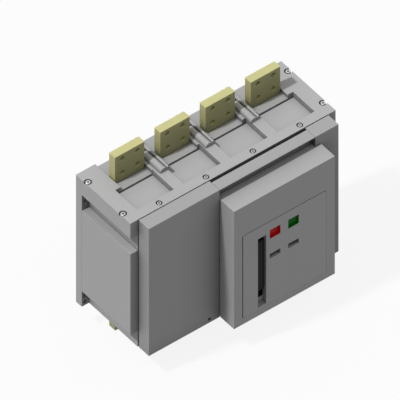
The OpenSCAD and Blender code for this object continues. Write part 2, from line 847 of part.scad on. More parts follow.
module contact_carrier(i) color(black) translate([pole_x(i), 0, 0]) opened()
    translate([0, -axle_back, axle_z]) {
        // Cheeks on the axle, outside the fingers
        both_sides() along_x([carrier_half - 4.5, carrier_half]) difference() {
            union() {
                circle(17);
                polygon([[-24, -10], [-17, -14], [15, -8], [12, 40], [-4, 74], [-24, 74]]);
            }
            circle(axle_d / 2 + run);
        }
        // Front wall that backs the fingers
        difference() {
            block(span(0, 2 * carrier_half), [-24, -15], [-10, 74]);
            block(span(0, link_t + 4), [-25, -14], span(drive_pin[1], 38));
        }
        // Ears that hold the link's pin
        both_sides() along_x([link_t / 2 + 0.5, link_t / 2 + 4.5])
            round_bar([-19, drive_pin[1]], drive_pin, 9, 9, 18);
        rod_x(link_pin_d / 2, span(0, link_t + 9), drive_pin[0], drive_pin[1]);
    }

module carrier_axles() color(steel)
    for (i = [1:4])
        rod_x(axle_d / 2, span(pole_x(i), chamber_w + 2 * axle_seat - fit), -axle_back, axle_z);

// Places of the driving pins with the contacts open
shaft_tip = [-shaft_back, axle_z] + polar(arm_len, 90 + swing / 2);
carrier_tip = [-axle_back, axle_z] + polar(arm_len, 90 + swing / 2);

module coupling_links() color(steel) for (i = [1:4])
    along_x(span(pole_x(i), link_t)) difference() {
        round_bar(shaft_tip, carrier_tip, 9, 9, link_h);
        translate(shaft_tip) circle(link_pin_d / 2 + run);
        translate(carrier_tip) circle(link_pin_d / 2 + run);
    }

module main_shaft() color(steel) {
    rod_x(shaft_d / 2, [-wall_x, wall_x], -shaft_back, axle_z);
    for (i = [1:4]) {
        for (side = [-1, 1])
            along_x(span(pole_x(i) + side * (link_t / 2 + 0.5 + lever_t / 2), lever_t))
                round_bar([-shaft_back, axle_z], shaft_tip, lever_end_r, 8.5, 17);
        rod_x(link_pin_d / 2, span(pole_x(i), link_t + 2 * lever_t + 1), shaft_tip[0], shaft_tip[1]);
    }
}

bearing_xs = [-wall_x + 12, -pole_pitch, 0, mech_right + 19, wall_x - 12];
module shaft_bearings() color(pale_grey) for (x = bearing_xs)
    along_x(span(x, bearing_w)) difference() {
        union() {
            translate([-shaft_back, axle_z]) circle(bearing_r);
            translate([-shaft_back, axle_z - bearing_r]) square([shaft_out, 2 * bearing_r]);
            translate([-body_d - 5, axle_z - 28]) square([5, 56]);
        }
        translate([-shaft_back, axle_z]) circle(shaft_d / 2 + run);
    }

// Straps that join each lower bar to its moving contact
module flexible_braids() color(copper) {
    front = axle_back;
    back = bar_front + braid_t / 2;
    r = (front - back) / 2;
    low = axle_z - 30;
    for (i = [1:4]) along_x(span(pole_x(i), braid_w)) {
        translate([-(front + back) / 2, low]) difference() {
            circle(r + braid_t / 2);
            circle(r - braid_t / 2);
            translate([-2 * r, 0]) square([4 * r, 2 * r]);
        }
        translate([-back - braid_t / 2, low]) square([braid_t, 22]);
        translate([-front - braid_t / 2, low]) square([braid_t, 8]);
    }
}

module current_transformers() color([0.2, 0.2, 0.25]) for (i = [1:4]) translate([pole_x(i), 0, 0])
    difference() {
        block(span(0, chamber_w - 2 * fit), [-ct_front, -ct_back], [ct_low, ct_top]);
        block(
            span(0, bar_neck_w + 2), [-bar_front - 1, -bar_back + 1],
            [ct_low - cut, ct_top + cut]
        );
    }

// Holders for the barriers between the terminals, on the partitions: a half-round lobe with
// a slit, a ridge along its right side, and two jaws behind it
holder_w = 25.5;
holder_h = 12;
holder_front = 116;
holder_rear = 2;
jaws_front = 47;
slit_front = 72;
slit_x = [1, 3.5];
lobe_r = 9.5;
ridge_r = 3.5;

module barrier_holder(k) color(grey) translate([(k - 2) * pole_pitch, 0, top_z]) {
    left = -holder_w / 2;
    right = holder_w / 2;
    difference() {
        along_y([-holder_front, -jaws_front]) {
            translate([left, 0]) square([2 * lobe_r, holder_h - lobe_r]);
            intersection() {
                translate([left + lobe_r, holder_h - lobe_r]) circle(lobe_r);
                translate([left, 0]) square([holder_w, holder_h]);
            }
        }
        block(slit_x, [-slit_front, -jaws_front + cut], [4, holder_h + cut]);
    }
    along_y([-holder_front, -holder_rear]) {
        translate([right - 2 * ridge_r, 0]) square([2 * ridge_r, holder_h - ridge_r]);
        translate([right - ridge_r, holder_h - ridge_r]) circle(ridge_r);
    }
    for (x = [left + 3, right - 2 * ridge_r - 2]) along_x([x, x + 3]) polygon([
        [-jaws_front - 1, 0], [-jaws_front - 1, holder_h - 3], [-holder_rear - 4, holder_h + 3.7],
        [-holder_rear, holder_h + 3.7], [-holder_rear, 0]
    ]);
}

module flange_screws() color(steel) at_flange_screws() screw(flange_head_d, flange_screw_len);
module wall_screws() color(steel) at_wall_screws() screw(wall_head_d, wall_screw_len);

half_shaft_r = 5;
sleeve_r = 12;
mech_front = cam_back + 19;
mech_corner = 14;
mech_low = cam_z - 45;
mech_high = half_shaft_z + 56;

// Two side plates that carry the drive, on feet against the insulating wall
module mechanism_plates() color(steel)
    for (side = [0, 1]) {
        x = side == 0 ? [mech_left, mech_left + mech_t] : [mech_right - mech_t, mech_right];
        foot = side == 0 ? [x[0] - 14, x[1]] : [x[0], x[1] + 3];
        along_x(x) difference() {
            polygon([
                [-body_d, mech_low], [-body_d, mech_high], [-mech_front + mech_corner, mech_high],
                [-mech_front, mech_high - mech_corner], [-mech_front, mech_low + mech_corner],
                [-mech_front + mech_corner, mech_low]
            ]);
            translate([-shaft_back, axle_z]) circle(shaft_d / 2 + 1);
            translate([-cam_back, cam_z]) circle((side == 0 ? sleeve_r : camshaft_d / 2) + run);
            translate([-trip_back, half_shaft_z]) circle(half_shaft_r + run);
            translate([-closing_back, half_shaft_z]) circle(half_shaft_r + run);
        }
        for (z = [[mech_low, axle_z - 35], [axle_z + 40, mech_high]])
            block(foot, [-body_d - mech_t, -body_d], z);
    }

spacer_places = [
    [-mech_front + 8, mech_low + 10], [-body_d - 10, mech_low + 15], [-body_d - 10, mech_high - 12]
];
module mechanism_spacers() color(steel)
    for (p = spacer_places) rod_x(5, mech_inner, p[0], p[1]);

// The closing spring stands between two shelves of this bracket
shelf_t = 6;
fork_rise = 10;
shelf_high = [half_shaft_z - 16 - shelf_t, half_shaft_z - 16];
shelf_low_z = cam_z + roller_reach + fork_rise + cam_lift + 2;
shelf_low = [shelf_low_z, shelf_low_z + shelf_t];
rod_r = 5;
module spring_bracket() color(steel) {
    y = span(-cam_back, 31);
    difference() {
        union() for (z = [shelf_high, shelf_low]) block(mech_inner, y, z);
        rod_z(rod_r + run, [shelf_low[0] - cut, shelf_high[1] + cut], mech_mid, -cam_back);
    }
    block([mech_inner[0] + 10, mech_inner[1] - 10], [y[1], y[1] + 3], [shelf_low[0], shelf_high[1]]);
}

cam_t = 10;
seat_z = [shelf_low[1] + 1.5, shelf_low[1] + 5.5];

// Rod with a seat for the spring and a roller that rides on the cam
module spring_plunger() color(steel) {
    roller_z = cam_z + roller_reach;
    fork_top = roller_z + fork_rise;
    rod_z(rod_r, [fork_top - 1, shelf_high[1] + 4], mech_mid, -cam_back);
    rod_z(15, seat_z, mech_mid, -cam_back);
    difference() {
        block(span(mech_mid, 18), span(-cam_back, 14), [roller_z - 7, fork_top]);
        block(span(mech_mid, cam_t + 0.8), span(-cam_back, 16), [roller_z - 8, roller_z + roller_r + 1]);
    }
    rod_x(roller_r, span(mech_mid, cam_t), -cam_back, roller_z);
    rod_x(3, span(mech_mid, 18), -cam_back, roller_z);
}

module closing_spring() color(steel) translate([mech_mid, -cam_back, 0])
    coil(12, spring_wire_d / 2, [seat_z[1] + fit, shelf_high[0] - fit], spring_turns, 16, 8);

// The roller's centre follows a spiral, so the lift keeps in step with the turn of the cam.
// The cam's edge lies inside that spiral by the roller's radius and its clearance.
function pitch_r(a) = roller_reach + cam_lift * max(0, min(1, (90 - a) / handle_stroke));
function pitch_slope(a) = a < 90 && a > 90 - handle_stroke ? -cam_lift * 180 / (PI * handle_stroke) : 0;
function cam_edge(a) =
    let (
        along = [
            pitch_slope(a) * cos(a) - pitch_r(a) * sin(a),
            pitch_slope(a) * sin(a) + pitch_r(a) * cos(a)
        ],
        out = [along[1], -along[0]] / norm(along)
    )
    polar(pitch_r(a), a) - (roller_r + fit) * out;
cam_back_r = 15;
cam_points = concat(
    [for (a = [112:-4:92]) cam_edge(a)],
    [for (k = [1:24]) cam_edge(90 - handle_stroke * k / 25)],
    [for (a = [90 - handle_stroke, 84 - handle_stroke]) cam_edge(a)],
    [for (a = [-40:-20:-230]) polar(cam_back_r, a)]
);

function ratchet_point(k, r, lead) = polar(r, 360 * (k + lead) / ratchet_teeth);

module camshaft() color(steel) {
    rod_x(camshaft_d / 2, [slot_left - 1.5, mech_right + 5], -cam_back, cam_z);
    translate([0, -cam_back, cam_z]) {
        along_x(span(mech_mid, cam_t)) polygon(cam_points);
        // Ratchet wheel, with steep faces for the pawl to push
        along_x([mech_inner[0] + 7, mech_inner[0] + 14]) polygon([
            for (k = [0:ratchet_teeth - 1]) each [
                ratchet_point(k, ratchet_r, 0), ratchet_point(k, ratchet_r - 4, 0.12)
            ]
        ]);
    }
}

handle_x = span(slot_left + slot_w / 2 + 0.4, handle_w);
pawl_arm = 34;
pawl_pin_r = 4;

module charging_handle() color(black) {
    front = cam_back + hub_r;
    back = front - 18;
    difference() {
        union() {
            along_x(handle_x) {
                translate([-cam_back, cam_z]) circle(hub_r);
                rounded([-front, -back], [cam_z, handle_top], 4);
            }
            rod_x(sleeve_r, [handle_x[1] - 1, mech_inner[0] + 6], -cam_back, cam_z);
        }
        rod_x(camshaft_d / 2 + run, [handle_x[0] - 1, mech_inner[0] + 7], -cam_back, cam_z);
        // Finger hollow behind the grip
        block(
            [handle_x[0] + 3, handle_x[1] - 3], [-back - 12, -back + cut],
            [cam_z + hub_r + 20, handle_top - 6]
        );
    }
    // Arm that carries the drive pawl
    along_x([mech_inner[0] + 2.5, mech_inner[0] + 6]) difference() {
        translate([-cam_back, cam_z]) round_bar([0, 0], [pawl_arm, 0], sleeve_r + 2, 7, 14);
        translate([-cam_back, cam_z]) circle(camshaft_d / 2 + run);
    }
    rod_x(pawl_pin_r, [mech_inner[0] + 5, mech_inner[0] + 14], -cam_back + pawl_arm, cam_z);
}

// Pawl on the handle's arm; its nose lies in a tooth of the ratchet wheel
module drive_pawl() color(steel)
    along_x([mech_inner[0] + 7, mech_inner[0] + 13.5]) translate([-cam_back, cam_z]) difference() {
        union() {
            translate([pawl_arm, 0]) circle(7);
            polygon([
                [pawl_arm + 2, -7], [pawl_arm + 5, 4], [pawl_arm - 2, 13],
                polar(ratchet_r + fit + 1, 24), polar(ratchet_r + fit, 16)
            ]);
        }
        translate([pawl_arm, 0]) circle(pawl_pin_r + run);
    }

button_sink = 2;
stem_r = 4;
module push_button(x, reach) {
    inset = 0.4;
    stem = [x + button_w / 2, button_z];
    face = plate_front - button_sink;
    flange_front = plate_back - fit;
    block([x + inset, x + button_w - inset], [-face, -flange_front], span(button_z, button_h - 2 * inset));
    block([x - 1.5, x + button_w + 1.5], [-flange_front, -flange_front + 2], span(button_z, button_h + 3));
    rod_y(stem_r, [-flange_front, -reach], stem[0], stem[1]);
    // Collar that ends the stroke at the guide
    collar = guide_back + button_travel + fit;
    rod_y(stem_r + 2.5, [-collar - 3, -collar], stem[0], stem[1]);
}

module off_button() color([0.72, 0.08, 0.08]) push_button(off_left, trip_back + 3 + fit);
module on_button() color([0.03, 0.32, 0.06]) push_button(on_left, closing_back + 3 + fit);

// Shelf between the side plates that guides both button stems
module button_guide() color(steel) difference() {
    block(mech_inner, [-guide_back, -guide_back + 3], span(button_z, 16));
    for (x = [off_left, on_left])
        rod_y(stem_r + run, [-guide_back - cut, -guide_back + 4], x + button_w / 2, button_z);
}

module half_shaft(back, x) {
    rod_x(half_shaft_r, [mech_left - 4, mech_right + 4], -back, half_shaft_z);
    along_x(span(x + button_w / 2, 12))
        translate([-back - 3, half_shaft_z]) square([6, button_z - half_shaft_z + 9]);
}

module trip_shaft() color(steel) half_shaft(trip_back, off_left);
module closing_shaft() color(steel) half_shaft(closing_back, on_left);

// Electronic overcurrent relay, against the back of the panel plate
trip_side_gap = 15;
trip_deep = 41.5;
trip_rise = 35;
trip_drop = 19.3;
module trip_unit() color(black) {
    x = [mech_right + trip_side_gap, window_right + 1];
    y = [-plate_back, -plate_back + trip_deep];
    z = [window_low + trip_rise, window_top - trip_drop];
    difference() {
        block(x, y, z);
        // Vents in the right side
        for (low = [z[0] + 20:14:z[1] - 20])
            block([x[1] - 2, x[1] + cut], [y[0] + 7.5, y[1] - 8], [low, low + 6]);
    }
}

pole_housing();
insulating_wall();
side_panel_left();
side_panel_right();
front_cover_left();
front_cover_right();
mechanism_hood();
operator_panel();
panel_plate();
flag_windows();
upper_terminal(1);  // upper_terminal_1
upper_terminal(2);  // upper_terminal_2
upper_terminal(3);  // upper_terminal_3
upper_terminal(4);  // upper_terminal_4
lower_terminal(1);  // lower_terminal_1
lower_terminal(2);  // lower_terminal_2
lower_terminal(3);  // lower_terminal_3
lower_terminal(4);  // lower_terminal_4
terminal_bolts();
fixed_contacts();
arc_chute(1);  // arc_chute_1
arc_chute(2);  // arc_chute_2
arc_chute(3);  // arc_chute_3
arc_chute(4);  // arc_chute_4
splitter_plates();
flexible_braids();
current_transformers();
barrier_holder(1);  // barrier_holder_1
barrier_holder(2);  // barrier_holder_2
barrier_holder(3);  // barrier_holder_3
flange_screws();
wall_screws();
carrier_axles();
contact_carrier(1);  // contact_carrier_1
contact_carrier(2);  // contact_carrier_2
contact_carrier(3);  // contact_carrier_3
contact_carrier(4);  // contact_carrier_4
contact_fingers(1);  // contact_fingers_1
contact_fingers(2);  // contact_fingers_2
contact_fingers(3);  // contact_fingers_3
contact_fingers(4);  // contact_fingers_4
shaft_bearings();
main_shaft();
coupling_links();
mechanism_plates();
mechanism_spacers();
spring_bracket();
button_guide();
charging_handle();
drive_pawl();
camshaft();
spring_plunger();
closing_spring();
off_button();
on_button();
trip_shaft();
closing_shaft();
on_off_flag();
spring_flag();
trip_unit();
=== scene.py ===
import math

import bmesh
import bpy
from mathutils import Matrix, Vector


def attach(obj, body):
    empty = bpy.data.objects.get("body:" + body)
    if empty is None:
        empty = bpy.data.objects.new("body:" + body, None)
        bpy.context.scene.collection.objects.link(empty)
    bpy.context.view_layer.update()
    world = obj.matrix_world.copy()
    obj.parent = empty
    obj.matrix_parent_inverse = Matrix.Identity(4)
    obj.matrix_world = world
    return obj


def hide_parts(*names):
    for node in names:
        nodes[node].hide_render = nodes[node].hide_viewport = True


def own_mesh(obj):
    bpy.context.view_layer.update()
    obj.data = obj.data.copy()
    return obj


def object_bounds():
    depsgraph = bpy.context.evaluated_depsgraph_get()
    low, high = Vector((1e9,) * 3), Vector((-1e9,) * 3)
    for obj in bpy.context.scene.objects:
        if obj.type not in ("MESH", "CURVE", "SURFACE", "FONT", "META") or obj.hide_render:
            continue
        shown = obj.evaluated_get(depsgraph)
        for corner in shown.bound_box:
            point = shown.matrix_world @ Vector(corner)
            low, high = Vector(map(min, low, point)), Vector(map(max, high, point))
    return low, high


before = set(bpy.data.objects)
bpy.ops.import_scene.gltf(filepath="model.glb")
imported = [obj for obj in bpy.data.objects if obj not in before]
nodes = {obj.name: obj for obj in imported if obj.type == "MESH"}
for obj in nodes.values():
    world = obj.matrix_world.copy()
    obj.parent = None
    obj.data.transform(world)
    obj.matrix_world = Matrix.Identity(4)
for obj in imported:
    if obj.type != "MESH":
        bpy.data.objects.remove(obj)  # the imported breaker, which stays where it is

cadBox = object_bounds()
mm = 0.001
mergeDistance = 0.005 * mm  # points closer than this are one point
touch = 0.1 * mm  # how near a point has to lie to a given place to be picked
past = 1 * mm  # how far a cutter reaches past what it cuts
squarely = 0.9  # how squarely a face has to look one way to be picked
print("frame loaded:", len(nodes), "nodes")


# Small helpers for node trees

def addNode(tree, kind, settings=None, inputs=None):
    node = tree.nodes.new(kind)
    for name, value in (settings or {}).items():
        setattr(node, name, value)
    for name, value in (inputs or {}).items():
        node.inputs[name].default_value = value
    return node


def startGroup(name, inputs, outputs):
    group = bpy.data.node_groups.new(name, "ShaderNodeTree")
    for socketName, kind, value in inputs:
        socket = group.interface.new_socket(name=socketName, in_out="INPUT", socket_type=kind)
        if value is not None:
            socket.default_value = value
    for socketName, kind in outputs:
        group.interface.new_socket(name=socketName, in_out="OUTPUT", socket_type=kind)
    return group, group.nodes.new("NodeGroupInput"), group.nodes.new("NodeGroupOutput")


def mapRange(group, source, given=(0.0, 1.0), wanted=(0.0, 1.0)):
    node = addNode(group, "ShaderNodeMapRange", inputs={
        "From Min": given[0], "From Max": given[1], "To Min": wanted[0], "To Max": wanted[1]})
    group.links.new(source, node.inputs["Value"])
    return node


def calculate(group, operation, a, b):
    node = addNode(group, "ShaderNodeMath", {"operation": operation})
    for place, value in enumerate((a, b)):
        if isinstance(value, (int, float)):
            node.inputs[place].default_value = value
        else:
            group.links.new(value, node.inputs[place])
    return node.outputs[0]


def tint(group, colour, factor):
    # multiplies a colour by a number that changes over the surface
    node = addNode(group, "ShaderNodeVectorMath", {"operation": "SCALE"})
    group.links.new(colour, node.inputs[0])
    group.links.new(factor, node.inputs["Scale"])
    return node.outputs[0]


def blendColours(group, factor, a, b):
    node = addNode(group, "ShaderNodeMix", {"data_type": "RGBA"})
    group.links.new(factor, node.inputs["Factor"])
    group.links.new(a, node.inputs["A"])
    group.links.new(b, node.inputs["B"])
    return node.outputs["Result"]


# Effects that several finishes share

mouldedSet = {"speck": (0.975, 1.025), "glossSwing": 0.25}


def makeMouldedGrain():
    # the spark-eroded texture of a moulded case, with the cloudiness of filled resin
    group, given, out = startGroup(
        "mouldedGrain",
        [("Colour", "NodeSocketColor", None), ("Grain Scale", "NodeSocketFloat", 900.0),
         ("Cloud Scale", "NodeSocketFloat", 14.0), ("Cloud", "NodeSocketFloat", 0.04),
         ("Gloss", "NodeSocketFloat", 0.55)],
        [("Colour", "NodeSocketColor"), ("Roughness", "NodeSocketFloat"),
         ("Height", "NodeSocketFloat")],
    )
    place = addNode(group, "ShaderNodeTexCoord")
    grain = addNode(group, "ShaderNodeTexNoise", inputs={"Detail": 3.0, "Roughness": 0.6})
    cloud = addNode(group, "ShaderNodeTexNoise", inputs={"Detail": 4.0, "Roughness": 0.55})
    for texture, scale in ((grain, "Grain Scale"), (cloud, "Cloud Scale")):
        group.links.new(place.outputs["Object"], texture.inputs["Vector"])
        group.links.new(given.outputs[scale], texture.inputs["Scale"])
    centred = calculate(group, "SUBTRACT", cloud.outputs["Fac"], 0.5)
    swing = calculate(group, "MULTIPLY", centred, given.outputs["Cloud"])
    speck = mapRange(group, grain.outputs["Fac"], wanted=mouldedSet["speck"])
    factor = calculate(group, "MULTIPLY", calculate(group, "ADD", swing, 1.0), speck.outputs[0])
    group.links.new(tint(group, given.outputs["Colour"], factor), out.inputs["Colour"])
    gloss = calculate(group, "MULTIPLY", centred, mouldedSet["glossSwing"])
    group.links.new(calculate(group, "ADD", given.outputs["Gloss"], gloss), out.inputs["Roughness"])
    group.links.new(grain.outputs["Fac"], out.inputs["Height"])
    return group


wearSet = {"samples": 4, "edge": (0.55, 0.15), "patch": (0.4, 0.62), "patchScale": 60.0}


def makeWearAndPaintedShade():
    # edges rub paler with wear; inner corners get painted shade, darker the more nearby surfaces
    # close them in, and less on faces that look up
    group, given, out = startGroup(
        "wearAndPaintedShade",
        [("Colour", "NodeSocketColor", None), ("Rubbed", "NodeSocketColor", None),
         ("Reach", "NodeSocketFloat", 0.0015), ("Wear", "NodeSocketFloat", 0.5),
         ("Corner Reach", "NodeSocketFloat", 0.02), ("Corner Shade", "NodeSocketFloat", 0.2),
         ("Upward Shade", "NodeSocketFloat", 0.25)],
        [("Colour", "NodeSocketColor"), ("Worn", "NodeSocketFloat")],
    )
    place = addNode(group, "ShaderNodeTexCoord")
    facing = addNode(group, "ShaderNodeSeparateXYZ")
    group.links.new(place.outputs["Normal"], facing.inputs[0])
    # faces that look up take less of the painted corner shade
    upward = mapRange(group, facing.outputs["Z"], wanted=(1.0, 1.0))
    group.links.new(given.outputs["Upward Shade"], upward.inputs["To Max"])
    edge = addNode(group, "ShaderNodeAmbientOcclusion",
                   {"inside": True, "only_local": True, "samples": wearSet["samples"]})
    corner = addNode(group, "ShaderNodeAmbientOcclusion", {"samples": wearSet["samples"]})
    patches = addNode(group, "ShaderNodeTexNoise",
                      inputs={"Scale": wearSet["patchScale"], "Detail": 5.0})
    group.links.new(place.outputs["Object"], patches.inputs["Vector"])
    group.links.new(given.outputs["Reach"], edge.inputs["Distance"])
    group.links.new(given.outputs["Corner Reach"], corner.inputs["Distance"])
    near = mapRange(group, edge.outputs["AO"], wearSet["edge"])
    broken = mapRange(group, patches.outputs["Fac"], wearSet["patch"])
    mask = calculate(group, "MULTIPLY", near.outputs[0], broken.outputs[0])
    worn = calculate(group, "MULTIPLY", mask, given.outputs["Wear"])
    # painted shade: the colour darkens by the ambient occlusion of inner corners
    amount = calculate(group, "MULTIPLY", given.outputs["Corner Shade"], upward.outputs[0])
    closed = calculate(group, "SUBTRACT", corner.outputs["AO"], 1.0)
    shade = calculate(group, "MULTIPLY", closed, amount)
    shaded = tint(group, given.outputs["Colour"], calculate(group, "ADD", shade, 1.0))
    group.links.new(blendColours(group, worn, shaded, given.outputs["Rubbed"]),
                    out.inputs["Colour"])
    group.links.new(worn, out.inputs["Worn"])
    return group


brushedSet = {"stainScale": 35.0, "frontBackShadeMap": (0.8, 0.98), "roughSwing": 0.8}


def makeBrushedGrain():
    # fine parallel lines of rolled or drawn metal
    group, given, out = startGroup(
        "brushedGrain",
        [("Colour", "NodeSocketColor", None), ("Stretch", "NodeSocketVector", (1.0, 1.0, 1.0)),
         ("Streaks", "NodeSocketFloat", 0.1), ("Gloss", "NodeSocketFloat", 0.35),
         ("Stain", "NodeSocketFloat", 0.1), ("Front Back Painted Shade", "NodeSocketFloat", 1.0)],
        [("Colour", "NodeSocketColor"), ("Roughness", "NodeSocketFloat"),
         ("Height", "NodeSocketFloat")],
    )
    place = addNode(group, "ShaderNodeTexCoord")
    spread = addNode(group, "ShaderNodeVectorMath", {"operation": "MULTIPLY"})
    group.links.new(place.outputs["Object"], spread.inputs[0])
    group.links.new(given.outputs["Stretch"], spread.inputs[1])
    lines = addNode(group, "ShaderNodeTexNoise", inputs={"Scale": 1.0, "Detail": 4.0})
    group.links.new(spread.outputs[0], lines.inputs["Vector"])
    stain = addNode(group, "ShaderNodeTexNoise",
                    inputs={"Scale": brushedSet["stainScale"], "Detail": 5.0, "Distortion": 0.4})
    group.links.new(place.outputs["Object"], stain.inputs["Vector"])
    swing = calculate(group, "MULTIPLY", calculate(group, "SUBTRACT", lines.outputs["Fac"], 0.5),
                      given.outputs["Streaks"])
    spots = calculate(group, "MULTIPLY", calculate(group, "SUBTRACT", stain.outputs["Fac"], 0.5),
                      given.outputs["Stain"])
    # painted shade: faces that look forward or back are made darker than the edges and ends
    facing = addNode(group, "ShaderNodeSeparateXYZ")
    group.links.new(place.outputs["Normal"], facing.inputs[0])
    along = calculate(group, "ABSOLUTE", facing.outputs["Y"], 0.0)
    frontBackShadeMap = mapRange(group, along, brushedSet["frontBackShadeMap"], (1.0, 1.0))
    group.links.new(given.outputs["Front Back Painted Shade"], frontBackShadeMap.inputs["To Max"])
    streaked = calculate(group, "ADD", calculate(group, "ADD", swing, spots), 1.0)
    factor = calculate(group, "MULTIPLY", streaked, frontBackShadeMap.outputs[0])
    group.links.new(tint(group, given.outputs["Colour"], factor), out.inputs["Colour"])
    swung = calculate(group, "MULTIPLY", swing, brushedSet["roughSwing"])
    rough = calculate(group, "ADD", swung, given.outputs["Gloss"])
    group.links.new(calculate(group, "SUBTRACT", rough, spots), out.inputs["Roughness"])
    group.links.new(lines.outputs["Fac"], out.inputs["Height"])
    return group


wovenTilt = 0.7  # how far the strands lean each way, in radians


def makeWovenStrands():
    # copper wires plaited flat
    group, given, out = startGroup(
        "wovenStrands",
        [("Colour", "NodeSocketColor", None), ("Shadow", "NodeSocketColor", None),
         ("Strands", "NodeSocketFloat", 420.0)],
        [("Colour", "NodeSocketColor"), ("Height", "NodeSocketFloat")],
    )
    place = addNode(group, "ShaderNodeTexCoord")
    waves = []
    for turn in (wovenTilt, -wovenTilt):
        tilt = addNode(group, "ShaderNodeMapping", inputs={"Rotation": (turn, 0.0, turn)})
        wave = addNode(group, "ShaderNodeTexWave", {"bands_direction": "X"},
                       {"Distortion": 0.6, "Detail": 1.0})
        group.links.new(place.outputs["Object"], tilt.inputs["Vector"])
        group.links.new(tilt.outputs["Vector"], wave.inputs["Vector"])
        group.links.new(given.outputs["Strands"], wave.inputs["Scale"])
        waves.append(wave.outputs["Fac"])
    woven = calculate(group, "MULTIPLY", waves[0], waves[1])
    group.links.new(blendColours(group, woven, given.outputs["Shadow"], given.outputs["Colour"]),
                    out.inputs["Colour"])
    group.links.new(woven, out.inputs["Height"])
    return group


mouldedGrain = makeMouldedGrain()
wearAndPaintedShade = makeWearAndPaintedShade()
brushedGrain = makeBrushedGrain()
wovenStrands = makeWovenStrands()
print("shared effects made")


# Finishes

def startMaterial(name, shading):
    material = bpy.data.materials.new(name)
    material.use_nodes = True
    tree = material.node_tree
    tree.nodes.clear()
    shader = addNode(tree, "ShaderNodeBsdfPrincipled", inputs=shading)
    out = addNode(tree, "ShaderNodeOutputMaterial")
    tree.links.new(shader.outputs["BSDF"], out.inputs["Surface"])
    return material, tree, shader


def placeGroup(tree, group, values):
    node = addNode(tree, "ShaderNodeGroup", {"node_tree": group})
    for name, value in values.items():
        node.inputs[name].default_value = value
    return node


def addBump(tree, shader, height, depth):
    bump = addNode(tree, "ShaderNodeBump", inputs={"Strength": 1.0, "Distance": depth})
    tree.links.new(height, bump.inputs["Height"])
    tree.links.new(bump.outputs["Normal"], shader.inputs["Normal"])


def mouldedFinish(name, look):
    material, tree, shader = startMaterial(name, {
        "IOR": 1.5, "Metallic": 0.0, "Specular IOR Level": look["shine"]})
    grain = placeGroup(tree, mouldedGrain, {
        "Colour": (*look["colour"], 1.0), "Grain Scale": look["grainScale"],
        "Cloud Scale": look["cloudScale"], "Cloud": look["cloud"], "Gloss": look["gloss"]})
    wear = placeGroup(tree, wearAndPaintedShade, {
        "Rubbed": (*look["rubbed"], 1.0), "Reach": look["reach"], "Wear": look["wear"],
        "Corner Reach": look["cornerReach"], "Corner Shade": look["cornerShade"],
        "Upward Shade": look["upwardShade"]})
    tree.links.new(grain.outputs["Colour"], wear.inputs["Colour"])
    tree.links.new(wear.outputs["Colour"], shader.inputs["Base Color"])
    tree.links.new(grain.outputs["Roughness"], shader.inputs["Roughness"])
    addBump(tree, shader, grain.outputs["Height"], look["grainDepth"])
    return material


def metalFinish(name, look):
    material, tree, shader = startMaterial(name, {
        "Metallic": look["metallic"], "Specular IOR Level": look["shine"]})
    brushed = placeGroup(tree, brushedGrain, {
        "Colour": (*look["colour"], 1.0), "Stretch": look["stretch"], "Streaks": look["streaks"],
        "Gloss": look["gloss"], "Stain": look["stain"], "Front Back Painted Shade": look["rolledFace"]})
    wear = placeGroup(tree, wearAndPaintedShade, {
        "Rubbed": (*look["rubbed"], 1.0), "Reach": look["reach"], "Wear": look["wear"],
        "Corner Reach": look["cornerReach"], "Corner Shade": look["cornerShade"]})
    tree.links.new(brushed.outputs["Colour"], wear.inputs["Colour"])
    tree.links.new(wear.outputs["Colour"], shader.inputs["Base Color"])
    tree.links.new(brushed.outputs["Roughness"], shader.inputs["Roughness"])
    addBump(tree, shader, brushed.outputs["Height"], look["lineDepth"])
    return material


def braidFinish(name, look):
    material, tree, shader = startMaterial(name, {"Metallic": 1.0, "Roughness": look["gloss"]})
    woven = placeGroup(tree, wovenStrands, {
        "Colour": (*look["colour"], 1.0), "Shadow": (*look["shadow"], 1.0),
        "Strands": look["strands"]})
    tree.links.new(woven.outputs["Colour"], shader.inputs["Base Color"])
    addBump(tree, shader, woven.outputs["Height"], look["depth"])
    return material


def windowFinish(name, look):
    # thin clear plastic: light goes straight through it, and only its surface shines
    material, tree, shader = startMaterial(name, {
        "Base Color": (*look["colour"], 1.0), "IOR": look["ior"], "Metallic": 0.0,
        "Alpha": look["body"]})
    haze = placeGroup(tree, mouldedGrain, {
        "Colour": (1.0, 1.0, 1.0, 1.0), "Grain Scale": look["grainScale"], "Gloss": look["gloss"]})
    tree.links.new(haze.outputs["Roughness"], shader.inputs["Roughness"])
    return material


def moulded(colour, gloss=0.55, **changes):
    look = {"colour": colour, "gloss": gloss, "shine": 0.2, "grainScale": 900.0,
            "grainDepth": 0.06 * mm, "cloudScale": 12.0, "cloud": 0.05,
            "rubbed": tuple(min(1.0, c * 1.35) for c in colour), "reach": 1.2 * mm, "wear": 0.35,
            "cornerReach": 0.09, "cornerShade": 0.85, "upwardShade": 0.35}
    look.update(changes)
    return look


def metal(colour, gloss=0.35, **changes):
    look = {"colour": colour, "gloss": gloss, "metallic": 1.0, "shine": 0.3,
            "stretch": (2500.0, 2500.0, 30.0),
            "streaks": 0.22, "stain": 0.16, "lineDepth": 0.02 * mm,
            "rubbed": tuple(min(1.0, c * 1.25) for c in colour), "reach": 1.0 * mm, "wear": 0.4,
            "cornerReach": 8.0 * mm, "cornerShade": 0.35, "rolledFace": 1.0}
    look.update(changes)
    return look


